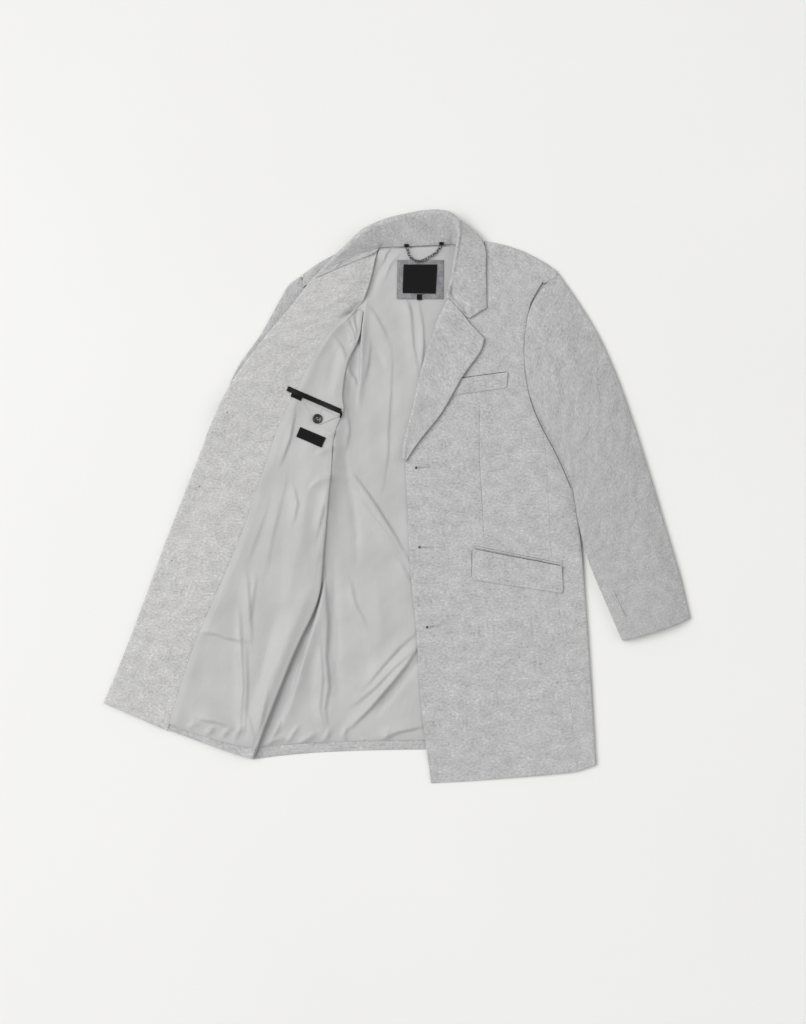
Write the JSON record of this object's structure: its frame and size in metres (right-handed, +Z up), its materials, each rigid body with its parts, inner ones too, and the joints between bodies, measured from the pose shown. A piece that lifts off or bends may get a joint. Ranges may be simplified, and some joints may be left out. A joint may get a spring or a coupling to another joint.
{
  "type": "winter coat",
  "caption": "Light grey wool overcoat laid flat on its back, left front closed over a satin lining, right front turned open to show facing, lining and inner pocket",
  "frame": {"origin": "middle of the outline, on the surface the coat lies on", "axes": "+Z up out of the surface, +Y towards the collar, +X towards the wearer's left sleeve"},
  "size_m": [1.0243, 1.0039, 0.0301],
  "materials": {
    "wool": "matte brushed wool",
    "satin_lining": "satin",
    "black_piping": "satin",
    "black_label": "woven matte",
    "felt_patch": "matte felt",
    "steel_chain": "polished",
    "black_button": "glossy"
  },
  "bodies": {
    "root": {"back": "wool", "side_left": "wool", "side_right": "wool", "front_left": "wool", "front_right": "wool", "facing_right": "wool", "lapel_left": "wool", "collar": "wool", "sleeve_left_top": "wool", "sleeve_left_under": "wool", "sleeve_right_top": "wool", "sleeve_right_under": "wool", "welt_chest": "wool", "jet_hip": "wool", "flap_hip": "wool", "lining_back": "satin_lining", "lining_right": "satin_lining", "tab_inner": "satin_lining", "welt_inner": "black_piping", "label_inner": "black_label", "tag_inner": "black_label", "label_neck": "black_label", "tab_size": "black_label", "chain_tab_left": "black_label", "chain_tab_right": "black_label", "patch_neck": "felt_patch", "chain_hanger": "steel_chain", "button_inner": "black_button", "button_front_1": "black_button", "button_front_2": "black_button", "button_front_3": "black_button"}
  },
  "joints": []
}
